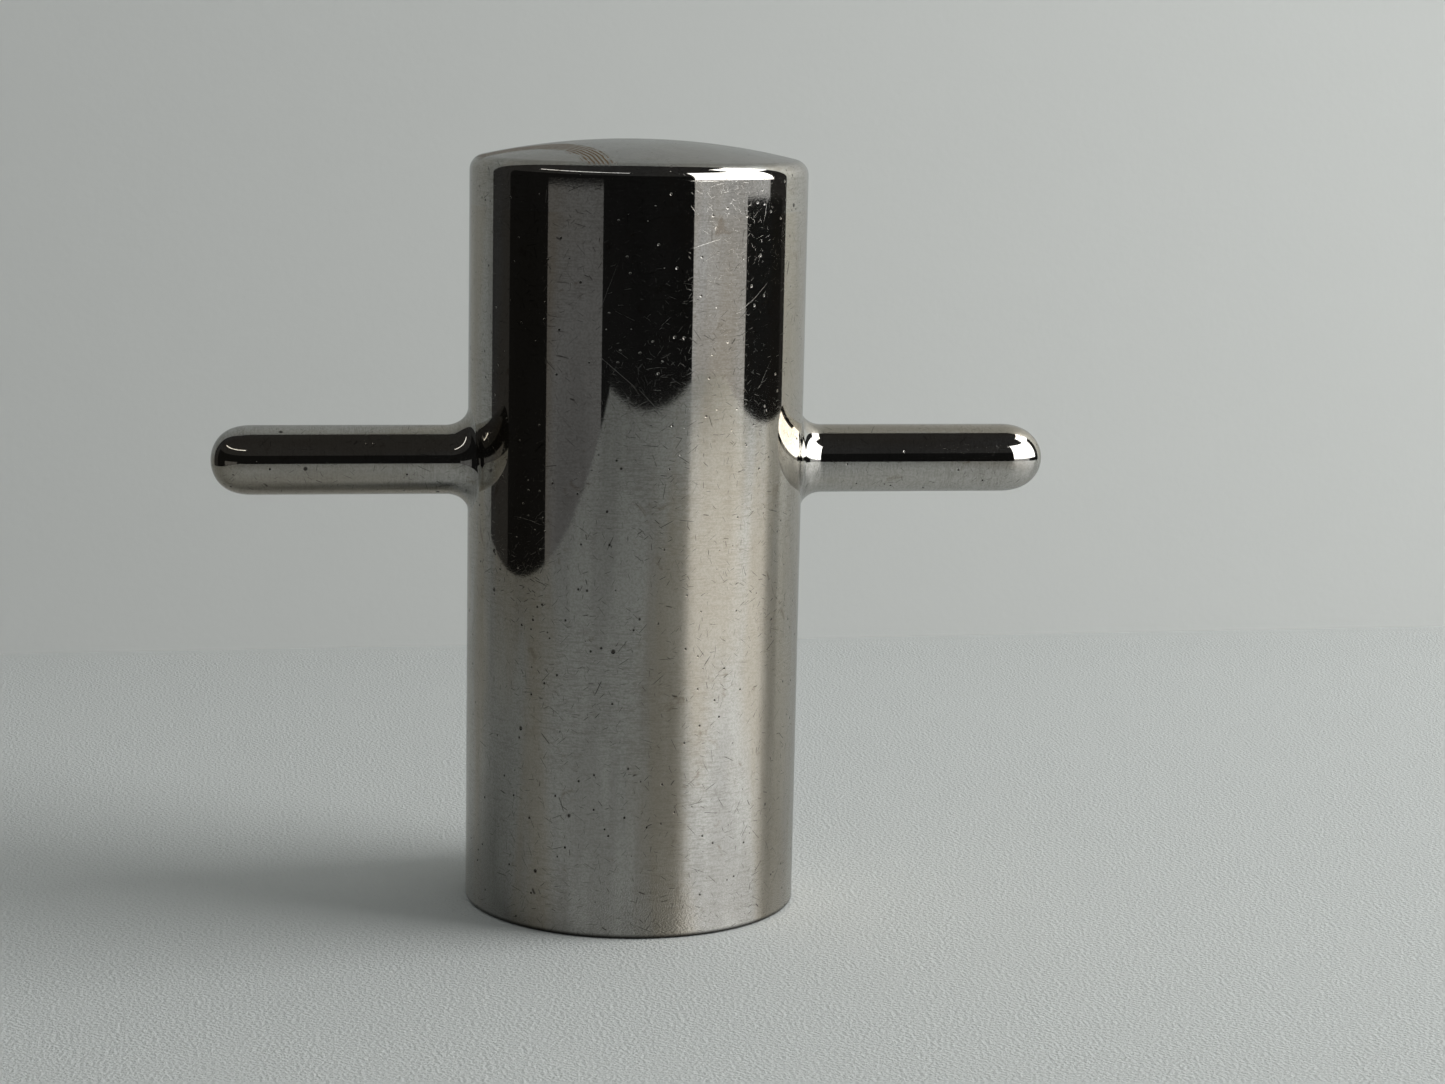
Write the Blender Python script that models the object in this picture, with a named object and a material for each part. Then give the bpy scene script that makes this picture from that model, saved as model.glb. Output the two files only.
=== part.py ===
"""Cross bollard for a boat's deck: a polished steel post with a domed cap and a cross bar.

The post is a tube. A pressed cap is welded to its top, and a round bar passes through both
walls and is welded on the outside. A disc with a tapped boss closes the foot, so that a stud
from below can draw the post down onto a deck.

Metres, +Z up the post and +X along the cross bar. The origin is the centre of the rim that
the post stands on.
"""

import math

import bmesh
import bpy

# Post
POST_RADIUS = 0.0300
WALL = 0.0030
FOOT_CHAMFER = 0.0003
POST_SIDES = 72

# Cap: the side turns over a small shoulder into a shallow dome
SHOULDER_START = 0.1319
SHOULDER_RADIUS = 0.0027
DOME_RISE = 0.0058
SPIGOT_WALL = 0.0025
SPIGOT_DEPTH = 0.0040
SHOULDER_STEPS = 4
DOME_STEPS = 6

# Seam between cap and tube: a V groove, filled and ground flush
SEAM_HEIGHT = 0.1245
GROOVE_WIDTH = 0.0036
ROOT_WIDTH = 0.0010

# Cross bar, with ends rounded by hand, the right one a little longer
BAR_RADIUS = 0.00615
BAR_HALF_LENGTH = 0.07535
BAR_HEIGHT = 0.0806
LEFT_TIP_LENGTH = 0.0065
RIGHT_TIP_LENGTH = 0.0071
TIP_STEPS = 6
BAR_SIDES = 36

# Fillet welds where the bar leaves the post, dressed to a hollow curve
FILLET_ALONG_BAR = 0.0041
FILLET_ALONG_POST = 0.0033
FILLET_TOE = 0.0002
FILLET_STEPS = 5
FILLET_SIDES = 36

# Foot: a disc set up inside the tube, and a boss tapped for an M16 stud
DISC_THICKNESS = 0.0080
FOOT_RECESS = 0.0015
SEAM_LEG = 0.0030
BOSS_RADIUS = 0.0120
BOSS_TOP = 0.0330
TAPPING_RADIUS = 0.0070
MOUTH_RADIUS = 0.0083
TAPPED_DEPTH = 0.0240
DRILL_POINT_HALF_ANGLE = math.radians(59)
BOSS_SIDES = 36

# Room left between neighbours
GAP = 0.0003

POST_BORE = POST_RADIUS - WALL
APEX = SHOULDER_START + DOME_RISE


def clear_scene():
    for obj in list(bpy.data.objects):
        bpy.data.objects.remove(obj, do_unlink=True)


def steel(name, colour, roughness):
    """Bare stainless steel in one of its finishes."""
    material = bpy.data.materials.new(name)
    material.use_nodes = True
    shader = material.node_tree.nodes["Principled BSDF"]
    shader.inputs["Base Color"].default_value = (*colour, 1.0)
    shader.inputs["Metallic"].default_value = 1.0
    shader.inputs["Roughness"].default_value = roughness
    return material


def arc(centre, radius, start, end, steps):
    """Points (radius, height) on a circle, from one angle to another, both ends included."""
    angles = [start + (end - start) * i / steps for i in range(steps + 1)]
    return [(centre[0] + radius * math.cos(a), centre[1] + radius * math.sin(a)) for a in angles]


def finish_mesh(name, work):
    """Closes the seams of a bmesh, points its faces outwards and shades it smooth."""
    bmesh.ops.remove_doubles(work, verts=work.verts, dist=1e-7)
    bmesh.ops.recalc_face_normals(work, faces=work.faces)
    mesh = bpy.data.meshes.new(name)
    work.to_mesh(mesh)
    work.free()
    mesh.shade_smooth()
    mesh.set_sharp_from_angle(angle=math.radians(30))
    return mesh


def place(name, mesh, material, parent):
    obj = bpy.data.objects.new(name, mesh)
    if material is not None:
        mesh.materials.append(material)
    obj.parent = parent
    bpy.context.scene.collection.objects.link(obj)
    return obj


def turned(name, profile, sides):
    """A turned mesh: a profile of (radius, height) points spun round Z.

    A profile that starts and ends on the axis makes a solid with poles, and any other is
    joined end to start and makes a ring.
    """
    work = bmesh.new()
    points = [work.verts.new((radius, 0, height)) for radius, height in profile]
    edges = [work.edges.new(pair) for pair in zip(points, points[1:])]
    if profile[0][0] > 0:
        edges.append(work.edges.new((points[-1], points[0])))
    bmesh.ops.spin(
        work,
        geom=points + edges,
        cent=(0, 0, 0),
        axis=(0, 0, 1),
        angle=2 * math.pi,
        steps=sides,
        use_merge=True,
    )
    return finish_mesh(name, work)


def groove_half_width(radius):
    """Half the V groove's width at a distance from the post's axis, at root and surface."""
    depth_share = (radius - POST_BORE) / WALL
    return 0.5 * (ROOT_WIDTH + (GROOVE_WIDTH - ROOT_WIDTH) * depth_share)


def build_post_tube(parent):
    """The tube, bevelled at the top for the seam and bored through both walls for the bar."""
    profile = [
        (POST_BORE, 0),
        (POST_RADIUS - FOOT_CHAMFER, 0),
        (POST_RADIUS, FOOT_CHAMFER),
        (POST_RADIUS, SEAM_HEIGHT - groove_half_width(POST_RADIUS)),
        (POST_BORE, SEAM_HEIGHT - groove_half_width(POST_BORE)),
    ]
    mesh = turned("post_tube", profile, POST_SIDES)
    tube = place("post_tube", mesh, steel("polished tube", (0.66, 0.65, 0.63), 0.06), parent)

    reach = POST_RADIUS + 0.01
    hole = BAR_RADIUS + GAP
    cutter_profile = [(0, -reach), (hole, -reach), (hole, reach), (0, reach)]
    cutter = place("bar_hole_cutter", turned("bar_hole_cutter", cutter_profile, BAR_SIDES), None, parent)
    cutter.location.z = BAR_HEIGHT
    cutter.rotation_euler.y = math.radians(90)
    cutter.hide_render = True
    cutter.display_type = "WIRE"

    bore = tube.modifiers.new("bar holes", "BOOLEAN")
    bore.operation = "DIFFERENCE"
    bore.solver = "EXACT"
    bore.object = cutter


def build_top_cap(parent):
    """A pressed cap of even thickness, with a spigot that centres it in the tube."""
    shoulder = (POST_RADIUS - SHOULDER_RADIUS, SHOULDER_START)
    reach = shoulder[0]
    dome_radius = (reach**2 + DOME_RISE**2 - SHOULDER_RADIUS**2) / (2 * (DOME_RISE - SHOULDER_RADIUS))
    dome_centre = (0, APEX - dome_radius)
    meeting_angle = math.atan2(shoulder[1] - dome_centre[1], shoulder[0])

    spigot = POST_BORE - GAP
    inside = spigot - SPIGOT_WALL
    under_dome = dome_radius - WALL
    inside_angle = math.acos(inside / under_dome)
    profile = [
        *arc(dome_centre, dome_radius, math.pi / 2, meeting_angle, DOME_STEPS),
        *arc(shoulder, SHOULDER_RADIUS, meeting_angle, 0, SHOULDER_STEPS)[1:],
        (POST_RADIUS, SEAM_HEIGHT + groove_half_width(POST_RADIUS)),
        (spigot, SEAM_HEIGHT + groove_half_width(spigot)),
        (spigot, SEAM_HEIGHT - SPIGOT_DEPTH),
        (inside, SEAM_HEIGHT - SPIGOT_DEPTH),
        *arc(dome_centre, under_dome, inside_angle, math.pi / 2, DOME_STEPS),
    ]
    profile[0] = (0, profile[0][1])
    profile[-1] = (0, profile[-1][1])
    mesh = turned("top_cap", profile, POST_SIDES)
    place("top_cap", mesh, steel("polished cap", (0.62, 0.61, 0.60), 0.12), parent)


def build_cap_seam_weld(parent):
    surface = groove_half_width(POST_RADIUS) - 1.1 * GAP
    root = groove_half_width(POST_BORE) - 1.1 * GAP
    profile = [
        (POST_RADIUS, SEAM_HEIGHT - surface),
        (POST_RADIUS, SEAM_HEIGHT + surface),
        (POST_BORE, SEAM_HEIGHT + root),
        (POST_BORE, SEAM_HEIGHT - root),
    ]
    mesh = turned("cap_seam_weld", profile, POST_SIDES)
    place("cap_seam_weld", mesh, steel("polished seam", (0.65, 0.64, 0.62), 0.07), parent)


def build_cross_bar(parent):
    """One bar through the post: two rounded ends joined by a straight run."""

    def tip(length, start, end):
        middle = math.copysign(BAR_HALF_LENGTH - length, math.sin(start) + math.sin(end))
        unit = arc((0, 0), 1, start, end, TIP_STEPS)
        return [(BAR_RADIUS * across, middle + length * along) for across, along in unit]

    profile = tip(LEFT_TIP_LENGTH, -math.pi / 2, 0) + tip(RIGHT_TIP_LENGTH, 0, math.pi / 2)
    profile[0] = (0, profile[0][1])
    profile[-1] = (0, profile[-1][1])
    mesh = turned("cross_bar", profile, BAR_SIDES)
    bar = place("cross_bar", mesh, steel("polished bar", (0.64, 0.62, 0.59), 0.07), parent)
    bar.location.z = BAR_HEIGHT
    bar.rotation_euler.y = math.radians(90)


def fillet_section(angle):
    """The weld's outline at one angle round the bar, as (distance from bar axis, x) points."""
    post = POST_RADIUS + GAP
    toward_front = math.cos(angle)

    def post_surface(distance):
        return math.sqrt(post**2 - (distance * toward_front) ** 2)

    inner = BAR_RADIUS + GAP
    outer = BAR_RADIUS + FILLET_ALONG_POST
    slope = -outer * toward_front**2 / post_surface(outer)
    bar_end = (inner + FILLET_TOE, post_surface(inner) + FILLET_ALONG_BAR)
    post_end = (outer, post_surface(outer) + FILLET_TOE)
    corner = (bar_end[0], post_end[1] + slope * (bar_end[0] - outer))

    section = [(inner, post_surface(inner)), (inner, bar_end[1])]
    weight = math.sqrt(0.5)
    for i in range(FILLET_STEPS + 1):
        t = i / FILLET_STEPS
        shares = ((1 - t) ** 2, 2 * weight * t * (1 - t), t**2)
        total = sum(shares)
        hollow = [
            sum(share * point[k] for share, point in zip(shares, (bar_end, corner, post_end))) / total
            for k in range(2)
        ]
        section.append(tuple(hollow))
    section.append((outer, post_surface(outer)))
    middle = 0.5 * (inner + outer)
    section.append((middle, post_surface(middle)))
    return section


def build_arm_welds(parent):
    """The two saddle-shaped rings, which share one mesh, turned half round for the left."""
    work = bmesh.new()
    rings = []
    for i in range(FILLET_SIDES):
        angle = 2 * math.pi * i / FILLET_SIDES
        section = fillet_section(angle)
        rings.append([work.verts.new((x, d * math.cos(angle), d * math.sin(angle))) for d, x in section])
    count = len(rings[0])
    for here, ahead in zip(rings, rings[1:] + rings[:1]):
        for j in range(count):
            k = (j + 1) % count
            work.faces.new((here[j], here[k], ahead[k], ahead[j]))
    mesh = finish_mesh("arm_weld", work)
    mesh.materials.append(steel("polished arm weld", (0.63, 0.61, 0.58), 0.09))
    for name, turn in (("right_arm_weld", 0), ("left_arm_weld", 180)):
        weld = place(name, mesh, None, parent)
        weld.location.z = BAR_HEIGHT
        weld.rotation_euler.z = math.radians(turn)


def build_foot_disc(parent):
    outside = POST_BORE - GAP
    hole = BOSS_RADIUS + GAP
    profile = [
        (hole, FOOT_RECESS),
        (outside - SEAM_LEG, FOOT_RECESS),
        (outside, FOOT_RECESS + SEAM_LEG),
        (outside, FOOT_RECESS + DISC_THICKNESS),
        (hole, FOOT_RECESS + DISC_THICKNESS),
    ]
    mesh = turned("foot_disc", profile, POST_SIDES)
    place("foot_disc", mesh, steel("turned disc", (0.56, 0.55, 0.53), 0.32), parent)


def build_foot_seam_weld(parent):
    """Fills the bevel round the disc, from below, and stays up inside the rim."""
    outside = POST_BORE - GAP
    leg = SEAM_LEG - math.sqrt(2) * GAP
    profile = [
        (outside - leg, FOOT_RECESS),
        (outside, FOOT_RECESS),
        (outside, FOOT_RECESS + leg),
    ]
    mesh = turned("foot_seam_weld", profile, POST_SIDES)
    place("foot_seam_weld", mesh, steel("brushed foot weld", (0.52, 0.50, 0.47), 0.38), parent)


def build_stud_boss(parent):
    """A round boss through the disc, drilled and tapped from below."""
    point_depth = TAPPING_RADIUS / math.tan(DRILL_POINT_HALF_ANGLE)
    bottom = FOOT_RECESS + TAPPED_DEPTH
    profile = [
        (0, bottom + point_depth),
        (TAPPING_RADIUS, bottom),
        (TAPPING_RADIUS, FOOT_RECESS + MOUTH_RADIUS - TAPPING_RADIUS),
        (MOUTH_RADIUS, FOOT_RECESS),
        (BOSS_RADIUS, FOOT_RECESS),
        (BOSS_RADIUS, BOSS_TOP),
        (0, BOSS_TOP),
    ]
    mesh = turned("stud_boss", profile, BOSS_SIDES)
    place("stud_boss", mesh, steel("turned boss", (0.55, 0.54, 0.52), 0.30), parent)


def build_boss_weld(parent):
    """A fillet weld on top of the disc, round the boss."""
    inside = BOSS_RADIUS + GAP
    bottom = FOOT_RECESS + DISC_THICKNESS + GAP
    profile = [
        (inside, bottom),
        (inside + SEAM_LEG, bottom),
        (inside, bottom + SEAM_LEG),
    ]
    mesh = turned("boss_weld", profile, BOSS_SIDES)
    place("boss_weld", mesh, steel("boss weld", (0.46, 0.43, 0.40), 0.45), parent)


clear_scene()
bollard = bpy.data.objects.new("bollard", None)
bpy.context.scene.collection.objects.link(bollard)
build_post_tube(bollard)
build_top_cap(bollard)
build_cap_seam_weld(bollard)
build_cross_bar(bollard)
build_arm_welds(bollard)
build_foot_disc(bollard)
build_foot_seam_weld(bollard)
build_stud_boss(bollard)
build_boss_weld(bollard)
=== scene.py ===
"""Looks of the cross bollard: its polished post, cap, bar and welds, and its turned foot.

Metres, +Z up the post and +X along the bar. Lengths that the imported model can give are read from
it, and the rest are named below.
"""

import math

import bmesh
import bpy
from mathutils import Matrix, Vector


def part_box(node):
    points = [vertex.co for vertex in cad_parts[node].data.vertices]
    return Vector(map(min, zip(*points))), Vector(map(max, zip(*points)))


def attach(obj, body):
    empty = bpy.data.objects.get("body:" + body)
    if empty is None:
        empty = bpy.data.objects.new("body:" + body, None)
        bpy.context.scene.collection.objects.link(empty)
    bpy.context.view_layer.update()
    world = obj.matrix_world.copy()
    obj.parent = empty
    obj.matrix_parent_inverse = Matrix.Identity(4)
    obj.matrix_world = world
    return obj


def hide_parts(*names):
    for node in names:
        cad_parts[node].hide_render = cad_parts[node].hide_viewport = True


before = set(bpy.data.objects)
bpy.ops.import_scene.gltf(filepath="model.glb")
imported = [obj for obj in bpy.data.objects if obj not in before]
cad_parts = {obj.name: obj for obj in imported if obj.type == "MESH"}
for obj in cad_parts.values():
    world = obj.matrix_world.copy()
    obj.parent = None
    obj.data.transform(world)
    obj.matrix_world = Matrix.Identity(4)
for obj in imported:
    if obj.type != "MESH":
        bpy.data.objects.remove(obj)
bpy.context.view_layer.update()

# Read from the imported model
POST_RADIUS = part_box("post_tube")[1].x
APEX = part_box("top_cap")[1].z
SPIGOT_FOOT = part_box("top_cap")[0].z
SEAM_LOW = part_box("cap_seam_weld")[0].z
SEAM_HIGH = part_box("cap_seam_weld")[1].z
BAR_LOW, BAR_HIGH = (corner.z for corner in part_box("cross_bar"))
BAR_RADIUS = (BAR_HIGH - BAR_LOW) / 2
BAR_HEIGHT = (BAR_HIGH + BAR_LOW) / 2
BAR_HALF_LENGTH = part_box("cross_bar")[1].x
DISC_LOW, DISC_HIGH = (corner.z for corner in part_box("foot_disc"))
DISC_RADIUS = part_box("foot_disc")[1].x
BOSS_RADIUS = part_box("stud_boss")[1].x
BOSS_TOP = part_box("stud_boss")[1].z

# Post and cap
WALL = 0.0030
POST_BORE = POST_RADIUS - WALL
FOOT_EDGE = 0.0005
SHOULDER_RADIUS = 0.0027
DOME_RISE = 0.0058
SHOULDER_START = APEX - DOME_RISE
SPIGOT_WALL = 0.0025
SEAM_SLOPE = 0.0013
POST_SIDES = 480

# Cross bar, with ends rounded by hand, the left one blunter
TIP_LENGTH = 1.3 * BAR_RADIUS
LEFT_TIP_POWER = 2.8
RIGHT_TIP_POWER = 2.4
BAR_SIDES = 192

# Fillet welds at the roots of the arms
FILLET_ALONG_BAR = 0.0041
FILLET_ALONG_POST = 0.0033
FILLET_STEPS = 28

# Foot
BEAD_LEG = 0.0026
BEAD_CROWN = 0.0005
RIPPLE_HEIGHT = 0.0003
EDGE_BREAK = 0.0003
MOUTH_RADIUS = 0.0083
TAPPING_RADIUS = 0.0070
TAPPED_DEPTH = 0.0240
THREAD_PITCH = 0.0020
THREAD_DEPTH = 0.0010
DRILL_POINT_HALF_ANGLE = math.radians(59)
BOSS_SIDES = 144


# ------------------------------------------------------------------------ node helpers

def add(tree, kind, inputs=None, **settings):
    """Adds a node. Each input is given a plain value or another node's output."""
    made = tree.nodes.new(kind)
    for name, value in settings.items():
        setattr(made, name, value)
    for key, value in (inputs or {}).items():
        if isinstance(value, bpy.types.NodeSocket):
            tree.links.new(value, made.inputs[key])
        else:
            made.inputs[key].default_value = value
    return made


def calc(tree, operation, *values):
    return add(tree, "ShaderNodeMath", dict(enumerate(values)), operation=operation).outputs[0]


def product(tree, *values):
    total = values[0]
    for value in values[1:]:
        total = calc(tree, "MULTIPLY", total, value)
    return total


def total_of(tree, *values):
    total = values[0]
    for value in values[1:]:
        total = calc(tree, "ADD", total, value)
    return total


def ramp(tree, value, low, high, start=0.0, end=1.0, smooth=True):
    """Goes from start to end while value goes from low to high, and stays there beyond."""
    made = add(tree, "ShaderNodeMapRange", {
        "Value": value, "From Min": low, "From Max": high, "To Min": start, "To Max": end,
    })
    made.interpolation_type = "SMOOTHSTEP" if smooth else "LINEAR"
    return made.outputs[0]


def blend(tree, share, first, second):
    """Mixes two colours."""
    made = add(tree, "ShaderNodeMix", {0: share, 6: first, 7: second}, data_type="RGBA")
    return made.outputs[2]


def new_group(name, kind, inputs, outputs):
    """Makes a node group with named sockets, and returns it with its inner ends."""
    group = bpy.data.node_groups.new(name, kind)
    for direction, sockets in (("INPUT", inputs), ("OUTPUT", outputs)):
        for socket_name, socket_kind in sockets.items():
            group.interface.new_socket(socket_name, in_out=direction, socket_type="NodeSocket" + socket_kind)
    given = group.nodes.new("NodeGroupInput").outputs
    result = group.nodes.new("NodeGroupOutput").inputs
    return group, given, result


def use_group(tree, group, inputs):
    kind = "GeometryNodeGroup" if group.bl_idname == "GeometryNodeTree" else "ShaderNodeGroup"
    made = add(tree, kind, node_tree=group)
    for key, value in inputs.items():
        if isinstance(value, bpy.types.NodeSocket):
            tree.links.new(value, made.inputs[key])
        else:
            made.inputs[key].default_value = value
    return made.outputs


# ------------------------------------------------------------------------ geometry trees

TURNING_INPUTS = ("Profile", "Sides", "Ring", "Material")


def build_turning_tree():
    """A turned body. A grid is wrapped round the Z axis, and each of its rows takes its radius
    and height from one point of the profile, whose points are (radius, share, height). The share
    says how much a later tree may work that row, and stays on the mesh with the angle."""
    tree, given, result = new_group(
        "turned body", "GeometryNodeTree",
        {"Profile": "Geometry", "Sides": "Int", "Ring": "Int", "Material": "Material"},
        {"Body": "Geometry"},
    )
    count = add(tree, "GeometryNodeAttributeDomainSize", {0: given["Profile"]}).outputs["Point Count"]
    rows = calc(tree, "ADD", count, given["Ring"])
    grid = add(tree, "GeometryNodeMeshGrid", {
        "Vertices X": calc(tree, "ADD", given["Sides"], 1.0),
        "Vertices Y": rows,
    })
    index = add(tree, "GeometryNodeInputIndex").outputs[0]
    column = calc(tree, "FLOOR", calc(tree, "DIVIDE", calc(tree, "ADD", index, 0.5), rows))
    row = calc(tree, "SUBTRACT", index, calc(tree, "MULTIPLY", column, rows))
    sample = add(tree, "GeometryNodeSampleIndex", data_type="FLOAT_VECTOR", domain="POINT")
    tree.links.new(given["Profile"], sample.inputs["Geometry"])
    tree.links.new(add(tree, "GeometryNodeInputPosition").outputs[0], sample.inputs["Value"])
    tree.links.new(calc(tree, "ROUND", calc(tree, "MODULO", row, count)), sample.inputs["Index"])
    point = add(tree, "ShaderNodeSeparateXYZ", {0: sample.outputs[0]}).outputs
    turn = calc(tree, "DIVIDE", calc(tree, "MULTIPLY", column, 2 * math.pi), given["Sides"])
    place = add(tree, "ShaderNodeCombineXYZ", {
        "X": product(tree, point["X"], calc(tree, "COSINE", turn)),
        "Y": product(tree, point["X"], calc(tree, "SINE", turn)),
        "Z": point["Z"],
    }).outputs[0]
    body = grid.outputs["Mesh"]
    for name, value in (("turn", turn), ("share", point["Y"])):
        made = add(tree, "GeometryNodeStoreNamedAttribute", data_type="FLOAT", domain="POINT")
        made.inputs["Name"].default_value = name
        tree.links.new(body, made.inputs["Geometry"])
        tree.links.new(value, made.inputs["Value"])
        body = made.outputs[0]
    body = add(tree, "GeometryNodeSetPosition", {"Geometry": body, "Position": place}).outputs[0]
    body = add(tree, "GeometryNodeMergeByDistance", {"Geometry": body, "Distance": 1e-6}).outputs[0]
    finish_tree(tree, body, given, result)
    return tree


def finish_tree(tree, body, given, result):
    body = add(tree, "GeometryNodeRealizeInstances", {"Geometry": body}).outputs[0]
    body = add(tree, "GeometryNodeSetMaterial", {"Geometry": body, "Material": given["Material"]}).outputs[0]
    tree.links.new(body, result["Body"])


def stored(tree, name):
    made = add(tree, "GeometryNodeInputNamedAttribute", {"Name": name}, data_type="FLOAT")
    return made.outputs["Attribute"]


def build_bead_tree(turning):
    """A weld bead laid round a joint. Its face stands out in overlapping half-moon ripples."""
    tree, given, result = new_group(
        "weld bead", "GeometryNodeTree",
        {
            "Profile": "Geometry", "Sides": "Int", "Ring": "Int", "Material": "Material",
            "Ripples": "Int", "Ripple Height": "Float", "Half Moon": "Float",
        },
        {"Body": "Geometry"},
    )
    body = use_group(tree, turning, {key: given[key] for key in TURNING_INPUTS})["Body"]
    share = stored(tree, "share")
    along = product(tree, given["Ripples"], stored(tree, "turn"), 0.5)
    lag = product(tree, given["Half Moon"], calc(tree, "SUBTRACT", 1.0, product(tree, share, share)))
    crest = calc(tree, "ABSOLUTE", calc(tree, "SINE", calc(tree, "SUBTRACT", along, lag)))
    out = add(tree, "ShaderNodeVectorMath", {
        0: add(tree, "GeometryNodeInputNormal").outputs[0],
        "Scale": product(tree, crest, share, given["Ripple Height"]),
    }, operation="SCALE").outputs[0]
    body = add(tree, "GeometryNodeSetPosition", {"Geometry": body, "Offset": out}).outputs[0]
    finish_tree(tree, body, given, result)
    return tree


def build_tapping_tree(turning):
    """A body with a screw thread cut in its bore, where the profile's share is one."""
    tree, given, result = new_group(
        "tapped body", "GeometryNodeTree",
        {
            "Profile": "Geometry", "Sides": "Int", "Ring": "Int", "Material": "Material",
            "Pitch": "Float", "Depth": "Float", "Crest Radius": "Float",
        },
        {"Body": "Geometry"},
    )
    body = use_group(tree, turning, {key: given[key] for key in TURNING_INPUTS})["Body"]
    here = add(tree, "GeometryNodeInputPosition").outputs[0]
    point = add(tree, "ShaderNodeSeparateXYZ", {0: here}).outputs
    turns = calc(tree, "DIVIDE", stored(tree, "turn"), 2 * math.pi)
    pitches_up = calc(tree, "DIVIDE", point["Z"], given["Pitch"])
    phase = calc(tree, "FRACT", calc(tree, "SUBTRACT", pitches_up, turns))
    from_root = calc(tree, "ABSOLUTE", calc(tree, "SUBTRACT", phase, 0.5))
    cut = ramp(tree, from_root, 1 / 16, 3 / 8, 1.0, 0.0, smooth=False)
    squares = total_of(tree, product(tree, point["X"], point["X"]), product(tree, point["Y"], point["Y"]))
    radius = calc(tree, "SQRT", squares)
    reach = calc(tree, "ADD", given["Crest Radius"], product(tree, cut, given["Depth"]))
    wider = calc(tree, "SUBTRACT", calc(tree, "DIVIDE", calc(tree, "MAXIMUM", radius, reach), radius), 1.0)
    flat = add(tree, "ShaderNodeCombineXYZ", {"X": point["X"], "Y": point["Y"]}).outputs[0]
    out = add(tree, "ShaderNodeVectorMath", {
        0: flat, "Scale": product(tree, wider, stored(tree, "share")),
    }, operation="SCALE").outputs[0]
    body = add(tree, "GeometryNodeSetPosition", {"Geometry": body, "Offset": out}).outputs[0]
    finish_tree(tree, body, given, result)
    return tree


def finish_piece(name, mesh, along_bar=False):
    """Puts a mesh where it belongs, closed, facing outwards and smooth up to its sharp edges."""
    work = bmesh.new()
    work.from_mesh(mesh)
    bmesh.ops.remove_doubles(work, verts=work.verts, dist=1e-7)
    bmesh.ops.recalc_face_normals(work, faces=work.faces)
    if along_bar:
        turn = Matrix.Translation((0, 0, BAR_HEIGHT)) @ Matrix.Rotation(math.pi / 2, 4, "Y")
        bmesh.ops.transform(work, matrix=turn, verts=work.verts)
    work.to_mesh(mesh)
    work.free()
    mesh.name = name
    mesh.shade_smooth()
    mesh.set_sharp_from_angle(angle=math.radians(30))
    piece = bpy.data.objects.new(name, mesh)
    bpy.context.scene.collection.objects.link(piece)
    return piece


def run_tree(name, tree, profile, along_bar=False, **inputs):
    """Runs a geometry tree on a profile of (radius, height) or (radius, share, height) points,
    listed up the outside of the body, and returns the plain piece."""
    mesh = bpy.data.meshes.new(name + "_profile")
    mesh.from_pydata([(p[0], p[1] if len(p) == 3 else 0, p[-1]) for p in profile], [], [])
    source = bpy.data.objects.new(name + "_profile", mesh)
    bpy.context.scene.collection.objects.link(source)
    modifier = source.modifiers.new("shape", "NODES")
    modifier.node_group = tree
    for item in tree.interface.items_tree:
        key = item.name.lower().replace(" ", "_")
        if item.in_out == "INPUT" and key in inputs:
            modifier[item.identifier] = inputs[key]
    bpy.context.view_layer.update()
    depsgraph = bpy.context.evaluated_depsgraph_get()
    made = bpy.data.meshes.new_from_object(source.evaluated_get(depsgraph))
    source.modifiers.remove(modifier)
    bpy.data.objects.remove(source)
    return finish_piece(name, made, along_bar)


# ------------------------------------------------------------------------ shapes

def arc(centre, radius, start, end, steps):
    """Points (radius, height) on a circle, from one angle to another, both ends included."""
    angles = [start + (end - start) * i / steps for i in range(steps + 1)]
    return [(centre[0] + radius * math.cos(a), centre[1] + radius * math.sin(a)) for a in angles]


def spread(low, high, steps):
    return [low + (high - low) * i / steps for i in range(steps + 1)]


def shape_post(tree, material):
    """The tube, with its foot's edge just broken and its top bevelled for the seam."""
    profile = [(POST_BORE, 0)]
    profile += arc((POST_RADIUS - FOOT_EDGE, FOOT_EDGE), FOOT_EDGE, -math.pi / 2, 0, 6)
    profile += [(POST_RADIUS, height) for height in spread(2 * FOOT_EDGE, SEAM_LOW, 24)]
    profile += [(POST_BORE, SEAM_LOW + SEAM_SLOPE)]
    return run_tree("polished_post", tree, profile, sides=POST_SIDES, ring=1, material=material)


def shape_cap_seam(tree, material):
    """The weld that joins cap and tube, dressed flush and polished with them."""
    profile = [
        (POST_BORE, SEAM_LOW + SEAM_SLOPE),
        (POST_RADIUS, SEAM_LOW),
        (POST_RADIUS, SEAM_HIGH),
        (POST_BORE, SEAM_HIGH - SEAM_SLOPE),
    ]
    return run_tree("flush_cap_seam", tree, profile, sides=POST_SIDES, ring=1, material=material)


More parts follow.
